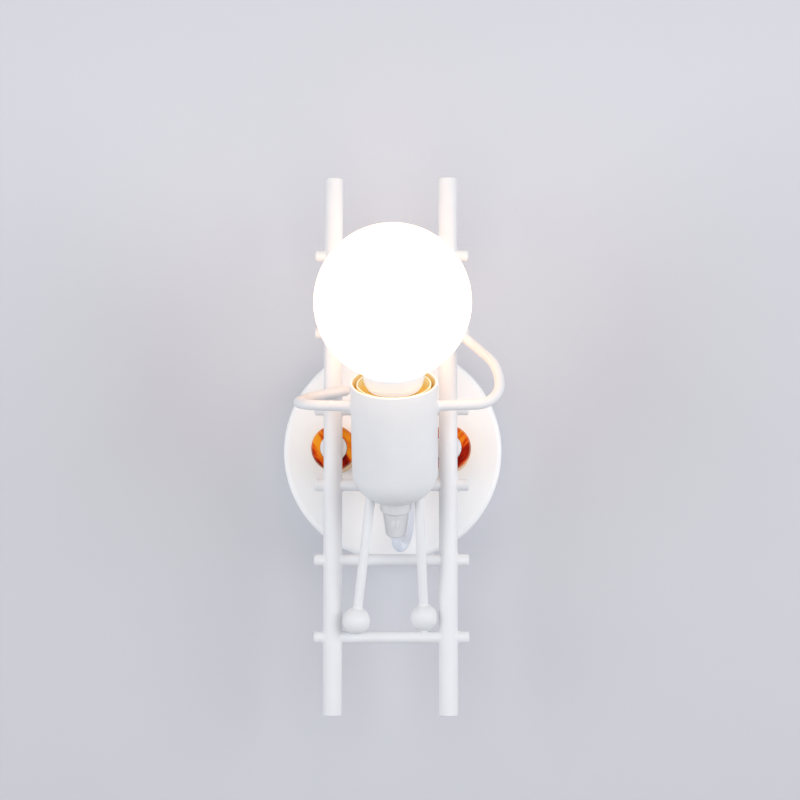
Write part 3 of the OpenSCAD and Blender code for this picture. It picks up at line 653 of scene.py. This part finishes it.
# half-round lip, then a bevel down to the bore
def sleeveProfile(s):
    outer, inner, lip = s["radius"], s["radius"] - s["wall"], s["lip"]
    ledge = inner - s["wall"]
    rim = arc(outer - lip, s["top"] - lip, lip, 0, 180, s["lipSteps"]) + [(inner, s["top"] - s["bevel"])]
    return rim + [(inner, s["shelf"]), (ledge, s["shelf"]), (ledge, s["bottom"]), (outer, s["bottom"])]


# the rounded rim is paler than the bore: the rim is painted as lit, the bore's gold is a painted warm glow
# from the bulb
def paleRim(sleeve, s):
    sleeve.data.materials.append(finishes["holder_rim"])
    for face in sleeve.data.polygons:
        face.material_index = int(heightOverRim(face) > s["top"] - s["lip"])


sleeveSkin = lathe(sleeveProfile(holderSet), cupFrame, holderSet["steps"])
holderSleeve = addSkins("holderSleeve", [sleeveSkin], "holder_plastic")
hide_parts("holder_sleeve")
paleRim(holderSleeve, holderSet)

# round screw threads on the bulb's cap and in the shell
threadSet = {
    "pitch": 0.00362,
    "depth": 0.0009,
    "steps": 96,
    "rowsPerTurn": 12,
    "fade": 0.0015,
    "capRadius": 0.013,
    "capTop": -0.00905,
    "capBottom": -0.031,
    "capThreadTop": -0.0135,
    "capThreadLow": -0.0285,
    "capHole": 0.004,
    "capWall": 0.0015,
    "capFloor": 0.0005,
    "capEdge": 0.0008,
    "edgeSteps": 5,
    "shellRadius": 0.0134,
    "shellSheet": 0.0004,
    "shellTop": -0.01,
    "shellBottom": -0.038,
    "shellFlange": 0.0159,
    "shellPlain": 0.004,
    "shellLead": 0.001,
}


def threadSwell(z, turn, low, high, s):
    inside = max(0, min(1, (z - low) / s["fade"], (high - z) / s["fade"]))
    wave = 0.5 + 0.5 * math.cos(2 * math.pi * (z / s["pitch"] - turn))
    return inside * (1 - wave) * s["depth"]


def threadRows(top, bottom, s):
    count = int((top - bottom) / s["pitch"] * s["rowsPerTurn"])
    return [top + (bottom - top) * k / count for k in range(count + 1)]


# a ring with the thread standing out of it, or sunk into it where share is negative
def threadRing(radius, z, share, span, s):
    ring = []
    for t in (k / s["steps"] for k in range(s["steps"])):
        r = radius + share * threadSwell(z, t, *span, s)
        ring.append(cupFrame @ Vector((r * math.cos(2 * math.pi * t), r * math.sin(2 * math.pi * t), z)))
    return ring


def addCap(s):
    radius, low, edge, floor = s["capRadius"], s["capBottom"], s["capEdge"], s["capBottom"] + s["capFloor"]
    span = (s["capThreadLow"], s["capThreadTop"])
    rings = [threadRing(radius, z, -1, span, s) for z in threadRows(s["capTop"], low + edge, s)]
    bends = [math.pi / 2 * k / s["edgeSteps"] for k in range(1, s["edgeSteps"] + 1)]
    plain = [(radius - edge * (1 - math.cos(a)), low + edge * (1 - math.sin(a))) for a in bends]
    plain += [(s["capHole"], low), (s["capHole"], floor)]
    plain += [(radius - s["capWall"], floor), (radius - s["capWall"], s["capTop"])]
    rings += [circle(r, z, cupFrame, s["steps"]) for r, z in plain]
    piece = addPiece("bulbCap", *skin(rings, closed=True), finishes["nickel"], "nickel", "bulb")
    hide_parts("bulb_cap")


def addShell(s):
    radius, low, thick = s["shellRadius"], s["shellBottom"], s["shellSheet"]
    span = (low + s["shellPlain"], s["shellTop"] - s["shellLead"])
    rows = threadRows(s["shellTop"], low, s)
    clear = low + 1.5 * thick  # rows below this would crowd the flange
    back = [low + thick] + [z for z in reversed(rows) if z > clear]
    rings = [threadRing(radius, z, 1, span, s) for z in rows]
    rings += [circle(s["shellFlange"], z, cupFrame, s["steps"]) for z in (low, low + thick)]
    rings += [threadRing(radius + thick, z, 1, span, s) for z in back]
    piece = addSkins("holderShell", [skin(rings, closed=True)], "nickel")
    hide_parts("holder_shell")


addCap(threadSet)
addShell(threadSet)
print("holder and threads turned")

# ladder: round bar with softly rounded ends
ladderSet = {
    "railEdge": 0.0009,
    "rungEdge": 0.0012,
    "edgeSteps": 6,
    "sides": 64,
    "rungs": 6,
}


def addBar(name, node, along, edge, s):
    low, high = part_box(node)
    middle = (low + high) / 2
    radius = (high.y - low.y) / 2
    half = (getattr(high, along) - getattr(low, along)) / 2
    ahead = Vector((along == "x", 0, along == "z"))
    steps = [math.pi / 2 * k / s["edgeSteps"] for k in range(s["edgeSteps"] + 1)]
    ends = [(half - edge + edge * math.cos(a), radius - edge + edge * math.sin(a)) for a in steps]
    rows = [(-place, r) for place, r in ends] + list(reversed(ends))
    line = [middle + ahead * place for place, r in rows]
    piece = addSkins(name, [sweep(line, [r for place, r in rows], s["sides"])])
    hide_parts(node)
    return piece


rails = [addBar(side + "Rail", side + "_rail", "z", ladderSet["railEdge"], ladderSet)
         for side in ("left", "right")]
rungs = [addBar("rung%d" % i, "rung_%d" % i, "x", ladderSet["rungEdge"], ladderSet)
         for i in range(1, ladderSet["rungs"] + 1)]
print("ladder rounded")

# painted weld fillets where rods meet rails, cup and feet
filletSet = {
    "flare": 0.001,
    "legFlare": 0.0012,
    "armFlare": 0.0015,
    "sides": 40,
    "curveSteps": 5,
    "sink": 0.0003,
    "seat": 0.00012,
    "overlap": 0.00002,
    "reach": 0.012,  # how far along a rod the other piece is looked for
    "handBead": 0.0016,
    "footBead": 0.0018,
    "beadFlare": 0.0004,
    "beadReach": 0.01,
    "beadCore": 0.5,
    "footRadius": 0.00725,
    "legRadius": 0.0025,
    "hips": {"left": (-8.8, 78.15, -20.09), "right": (15.2, 78.15, -20.09)},
}


def pieceTree(piece):
    mesh = piece.data
    return BVHTree.FromPolygons([v.co for v in mesh.vertices], [p.vertices for p in mesh.polygons])


# a closed ring of paint round a rod, where it runs into another piece
def filletRing(base, ahead, radius, flare, tree, s):
    side = ahead.orthogonal().normalized()
    other = ahead.cross(side)
    far, overlap = s["reach"], s["overlap"]
    columns = []
    for k in range(s["sides"]):
        a = 2 * math.pi * k / s["sides"]
        out = side * math.cos(a) + other * math.sin(a)

        def meet(r):
            start = base + out * r + ahead * far
            hit = tree.ray_cast(start, -ahead, 3 * far)
            return (hit[0] - start).dot(-ahead) if hit[0] is not None else None

        near, wide = meet(radius + s["seat"]), meet(radius + flare)
        if near is None or wide is None:
            return None
        foot = base + ahead * (far - near)
        up = foot + out * (radius - overlap) + ahead * flare
        corner = foot + out * radius
        edge = base + ahead * (far - wide) + out * (radius + flare) - ahead * overlap
        column = []
        for i in range(s["curveSteps"] + 1):
            t = i / s["curveSteps"]
            column.append(up * (1 - t) ** 2 + corner * 2 * t * (1 - t) + edge * t * t)
        column.append(edge - ahead * s["sink"])
        column.append(foot + out * (radius - s["sink"]) - ahead * s["sink"])
        column.append(foot + out * (radius - s["sink"]) + ahead * flare)
        columns.append(column)
    return [[column[i] for column in columns] for i in range(len(columns[0]))]


# a bead of weld in the crevice between two pieces that touch side by side
def beadRings(start, end, contact, radius, startTree, endTree, s):
    ahead = (end - start).normalized()
    side = ahead.orthogonal().normalized()
    other = ahead.cross(side)
    columns = []
    for k in range(s["sides"]):
        a = 2 * math.pi * k / s["sides"]
        out = side * math.cos(a) + other * math.sin(a)
        edge = contact + out * (radius + s["beadFlare"])
        low = startTree.ray_cast(edge, -ahead, s["beadReach"])[0]
        high = endTree.ray_cast(edge, ahead, s["beadReach"])[0]
        if low is None or high is None:
            return None
        waist = (low + high) / 2 - out * 2 * s["beadFlare"]
        inward = out * (radius + s["beadFlare"]) * s["beadCore"]
        column = [low - inward - ahead * s["sink"]]
        for i in range(s["curveSteps"] + 2):
            t = i / (s["curveSteps"] + 1)
            column.append(low * (1 - t) ** 2 + waist * 2 * t * (1 - t) + high * t * t)
        column.append(high - inward + ahead * s["sink"])
        columns.append(column)
    return [[column[i] for column in columns] for i in range(len(columns[0]))]


def rungJoints(s):
    joints = []
    for rail, railName in zip(rails, ("left_rail", "right_rail")):
        tree = pieceTree(rail)
        railLow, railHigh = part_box(railName)
        for i in range(1, ladderSet["rungs"] + 1):
            low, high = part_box("rung_%d" % i)
            middle = (low + high) / 2
            base = Vector(((railLow.x + railHigh.x) / 2, middle.y, middle.z))
            for sign in (-1, 1):
                joints.append((base, Vector((sign, 0, 0)), (high.z - low.z) / 2, s["flare"], tree))
    return joints


def footMiddle(side, s):
    low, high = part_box(side + "_foot")
    return Vector(((low.x + high.x) / 2, (low.y + high.y) / 2, low.z + s["footRadius"]))


def limbJoints(s):
    cup = pieceTree(lampCup)
    joints = [(p, d, armSet["radius"], s["armFlare"], cup)
              for p, d in ((leftShoulder, leftAhead), (rightShoulder, rightAhead))]
    for side, hip in s["hips"].items():
        middle = footMiddle(side, s)
        hip = fromWall(hip)
        down = (middle - hip).normalized()
        joints.append((hip, down, s["legRadius"], s["legFlare"], cup))
        joints.append((middle, -down, s["legRadius"], s["flare"], pieceTree(nodes[side + "_foot"])))
    return joints


# rail to hand and rung to foot: the two middles, the point of contact, bead radius and both surfaces
def beadPlaces(s):
    places = []
    lowRung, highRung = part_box("rung_6")
    for side, rail, arm in (("left", rails[0], leftArm), ("right", rails[1], rightArm)):
        low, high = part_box(side + "_rail")
        railX, railY, railRadius = (low.x + high.x) / 2, (low.y + high.y) / 2, (high.x - low.x) / 2
        wrist, tip = [fromWall(p) for p in armSet[side][-2:]]
        share = (railX - wrist.x) / (tip.x - wrist.x)
        hand = wrist + (tip - wrist) * share
        axis = Vector((railX, railY, hand.z))
        contact = axis + (hand - axis).normalized() * (railRadius + s["overlap"])
        places.append((axis, hand, contact, s["handBead"], pieceTree(rail), pieceTree(arm)))
    for side in ("left", "right"):
        ball = footMiddle(side, s)
        axis = Vector((ball.x, (lowRung.y + highRung.y) / 2, (lowRung.z + highRung.z) / 2))
        contact = axis + (ball - axis).normalized() * ((highRung.z - lowRung.z) / 2 + s["overlap"])
        foot = pieceTree(nodes[side + "_foot"])
        places.append((axis, ball, contact, s["footBead"], pieceTree(rungs[-1]), foot))
    return places


def addWelds(s):
    for name, joints in (("rungFillets", rungJoints(s)), ("limbFillets", limbJoints(s))):
        found = [filletRing(*joint, s) for joint in joints]
        print(name, "found", len([r for r in found if r]), "of", len(joints))
        addSkins(name, [skin(rings, closed=True) for rings in found if rings])
    places = beadPlaces(s)
    found = [beadRings(*place, s) for place in places]
    print("beads found", len([r for r in found if r]), "of", len(places))
    addSkins("weldBeads", [skin(rings) for rings in found if rings])


addWelds(filletSet)
print("welds painted")

# cord grip: collar under the cup, tapered nose with a clamping screw in its front
gripSet = {
    "bore": 0.003,
    "nippleRoom": 0.00505,  # the collar's bore round the threaded nipple
    "collar": [(0.0077, -0.06635), (0.0079, -0.06645), (0.008, -0.0667)],
    "collarLip": (0.0083, -0.0719),
    "lipRound": 0.0009,
    "collarEnd": (0.0062, -0.0729),
    "nose": [(0.0062, -0.073), (0.0068, -0.0731), (0.0071, -0.0734), (0.0071, -0.074), (0.0068, -0.0747)],
    "noseTip": (0.0056, -0.0857),
    "tipRound": 0.0021,
    "roundSteps": 8,
    "steps": 96,
    "screwPlace": -0.0786,
    "screwRadius": 0.0021,
    "screwRoom": 0.00004,
    "screwSlot": 0.00025,
    "slotDepth": 0.0003,
    "screwLean": 84,
    "screwSteps": 48,
    "headSteps": 20,
    "bossRadius": 0.0027,
    "bossRise": 0.0066,  # from the cup's axis
    "bossRoot": 0.0048,
    "soft": 0.00015,
    "softSteps": 5,
    "seam": 0.0004,
    "seamStart": 0.9,
    "seamSteps": 10,
    "seamSides": 16,
}


def noseRadius(z, s):
    (topR, topZ), (tipR, tipZ) = s["nose"][-1], s["noseTip"]
    return topR + (tipR - topR) * (z - topZ) / (tipZ - topZ)


def collarAndNose(s):
    lipR, lipZ = s["collarLip"]
    collar = s["collar"] + arc(lipR - s["lipRound"], lipZ, s["lipRound"], 0, -85, s["roundSteps"])
    collar += [s["collarEnd"], (s["nippleRoom"], s["collarEnd"][1]), (s["nippleRoom"], s["collar"][0][1])]
    tipR, tipZ = s["noseTip"]
    tip = arc(tipR - s["tipRound"], tipZ, s["tipRound"], 0, -90, s["roundSteps"])
    bore = [(s["bore"], tip[-1][1]), (s["bore"], s["nose"][0][1])]
    return [lathe(profile, cupFrame, s["steps"]) for profile in (collar, s["nose"] + tip + bore)]


# half of a slotted head, on one side of its slot
def headHalf(side, trim, height, place, s):
    r, half = s["screwRadius"] - trim, s["screwSlot"] + trim
    start = math.asin(half / r)
    angles = [start + (math.pi - 2 * start) * k / s["headSteps"] for k in range(s["headSteps"] + 1)]
    return [place @ Vector((side * r * math.cos(a), side * r * math.sin(a), height)) for a in angles]


# slotted screw in a round boss that stands out of the nose
def screwSkins(s):
    toFront = Matrix.Rotation(math.radians(90), 4, "X")
    place = cupFrame @ Matrix.Translation((0, 0, s["screwPlace"])) @ toFront
    turned = place @ Matrix.Rotation(math.radians(s["screwLean"]), 4, "Z")
    low, high, soft, steps = s["bossRoot"], s["bossRise"], s["soft"], s["screwSteps"]
    wide, inner = s["bossRadius"], s["screwRadius"] + s["screwRoom"]
    boss = [(inner, low), (wide, low), (wide, high - soft)]
    boss += arc(wide - soft, high - soft, soft, 15, 90, s["softSteps"]) + [(inner, high)]
    floor = high - s["slotDepth"]
    skins = [lathe(boss, place, steps)]
    skins.append(skin([circle(s["screwRadius"], h, turned, steps) for h in (low, floor)]))
    levels = ((0, floor), (0, high - soft), (soft, high))
    for side in (1, -1):
        skins.append(skin([headHalf(side, trim, h, turned, s) for trim, h in levels]))
    return skins


# moulding seam down the front of the nose
def seamSkin(s):
    top, end, steps = s["screwPlace"] - s["bossRadius"] * s["seamStart"], s["noseTip"][1], s["seamSteps"]
    heights = [top + (end - top) * k / steps for k in range(steps + 1)]
    line = [cupFrame @ Vector((0, -noseRadius(z, s) + s["seam"] / 2, z)) for z in heights]
    return sweep(line, [s["seam"]] * steps + [s["seam"] / 2], s["seamSides"])


collarSkin, noseSkin = collarAndNose(gripSet)
gripCollar = addSkins("gripCollar", [collarSkin], "grip_plastic")
gripNose = addSkins("gripNose", [noseSkin, seamSkin(gripSet)], "grip_plastic")
addSkins("gripScrew", screwSkins(gripSet), "grip_plastic")
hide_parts("cord_grip_collar")
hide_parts("cord_grip_nose")
print("cord grip turned")

# stage: the wall, seen from its front only, and soft studio light
stageSet = {
    # wall paint runs lighter towards the top: a painted gradient of light on the backdrop
    "wallLitTop": (0.685, 0.685, 0.728),
    "wallShadedFoot": (0.598, 0.598, 0.635),
    "wallReach": 0.22,
    "wallCloud": 0.3,
    "wallCloudScale": 6,
    "wallRough": 0.9,
    "wallGloss": 0.2,
    "wallGap": 0.0006,
    "wallSize": 8,
    "sky": (0.9, 0.93, 1.0),
    "skyPower": 0.31,
    "bouncePower": 0.72,  # what a lit wall sends back from behind
    "bounceFrom": (-0.1, 0.25),
    "behind": (0.8, 0.8, 0.84),
    "lamps": {
        "frontLight": {"place": (0.1, -2.4, -0.1), "size": 2.5, "watts": 15.5, "tint": (0.98, 0.99, 1.0)},
        "leftLight": {"place": (-2.0, -1.35, 0.1), "size": 2.0, "watts": 25, "tint": (0.97, 0.985, 1.0)},
        "lowLight": {"place": (0.1, -2.0, -1.7), "size": 2.4, "watts": 5, "tint": (0.98, 0.99, 1.0)},
        "rightLight": {"place": (2.0, -1.35, 0.35), "size": 2.0, "watts": 31, "tint": (0.99, 0.99, 1.0)},
    },
}


def addWall(s):
    half = s["wallSize"] / 2
    mesh = bpy.data.meshes.new("wall")
    corners = [(-half, 0, -half), (half, 0, -half), (half, 0, half), (-half, 0, half)]
    mesh.from_pydata(corners, [], [(0, 1, 2, 3)])
    wall = bpy.data.objects.new("wall", mesh)
    wall.location = (0, s["wallGap"], 0)
    scene.collection.objects.link(wall)
    mat, shader = newMaterial("wallPaint", Roughness=s["wallRough"], Specular_IOR_Level=s["wallGloss"])
    place = objectPlace(mat)
    cloud = addNode(mat, "ShaderNodeTexNoise", {"Scale": s["wallCloudScale"], "Detail": 3})
    join(mat, place, "Vector", cloud, "Vector")
    split = addNode(mat, "ShaderNodeSeparateXYZ")
    join(mat, place, "Vector", split, "Vector")
    # the wall's tone rises with height, a painted gradient of light
    reach, spread = s["wallReach"], s["wallCloud"] / 2
    height = addNode(mat, "ShaderNodeMapRange", {"From Min": -reach, "From Max": reach, "To Min": -spread,
                                                 "To Max": 1 - spread})
    join(mat, split, "Z", height, "Value")
    blend = addNode(mat, "ShaderNodeMath", operation="MULTIPLY_ADD")
    join(mat, cloud, "Fac", blend, 0)
    blend.inputs[1].default_value = s["wallCloud"]
    join(mat, height, "Result", blend, 2)
    ramp = addRamp(mat, [(0, s["wallShadedFoot"]), (1, s["wallLitTop"])])
    join(mat, blend, "Value", ramp, "Fac")
    join(mat, ramp, "Color", shader, "Base Color")
    geometry = addNode(mat, "ShaderNodeNewGeometry")
    clear = addNode(mat, "ShaderNodeBsdfTransparent")
    mix = addNode(mat, "ShaderNodeMixShader")
    join(mat, geometry, "Backfacing", mix, 0)
    join(mat, shader, 0, mix, 1)
    join(mat, clear, 0, mix, 2)
    join(mat, mix, 0, mat.node_tree.nodes["Material Output"], "Surface")
    mesh.materials.append(mat)
    wall.visible_diffuse = False  # the sky does the wall's share of the light
    wall.visible_shadow = False


def addLights(s):
    for name, lamp in s["lamps"].items():
        data = bpy.data.lights.new(name, "AREA")
        data.shape = "DISK"
        data.size = lamp["size"]
        data.energy = lamp["watts"]
        data.color = lamp["tint"]
        light = bpy.data.objects.new(name, data)
        light.location = lamp["place"]
        light.rotation_euler = (-Vector(lamp["place"])).to_track_quat("-Z", "Y").to_euler()
        scene.collection.objects.link(light)
    world = bpy.data.worlds.new("studio")
    scene.world = world
    world.use_nodes = True
    tree = world.node_tree
    light = tree.nodes["Background"]
    light.inputs["Color"].default_value = (*s["sky"], 1)
    aim = tree.nodes.new("ShaderNodeTexCoord")
    split = tree.nodes.new("ShaderNodeSeparateXYZ")
    power = tree.nodes.new("ShaderNodeMapRange")
    ranges = {"From Min": s["bounceFrom"][0], "From Max": s["bounceFrom"][1],
              "To Min": s["skyPower"], "To Max": s["bouncePower"]}
    for socket, value in ranges.items():
        power.inputs[socket].default_value = value
    tree.links.new(aim.outputs["Generated"], split.inputs[0])
    tree.links.new(split.outputs["Y"], power.inputs["Value"])
    tree.links.new(power.outputs["Result"], light.inputs["Strength"])
    seen = tree.nodes.new("ShaderNodeBackground")
    seen.inputs["Color"].default_value = (*s["behind"], 1)
    path = tree.nodes.new("ShaderNodeLightPath")
    direct = path.outputs["Is Camera Ray"]
    for ray in ("Is Glossy Ray", "Is Transmission Ray"):  # reflections see the same backdrop as the camera
        either = tree.nodes.new("ShaderNodeMath")
        either.operation = "MAXIMUM"
        tree.links.new(direct, either.inputs[0])
        tree.links.new(path.outputs[ray], either.inputs[1])
        direct = either.outputs[0]
    mix = tree.nodes.new("ShaderNodeMixShader")
    tree.links.new(direct, mix.inputs[0])
    tree.links.new(light.outputs[0], mix.inputs[1])
    tree.links.new(seen.outputs[0], mix.inputs[2])
    tree.links.new(mix.outputs[0], tree.nodes["World Output"].inputs["Surface"])


addWall(stageSet)
addLights(stageSet)
scene.view_settings.view_transform = "Standard"
print("stage lit")
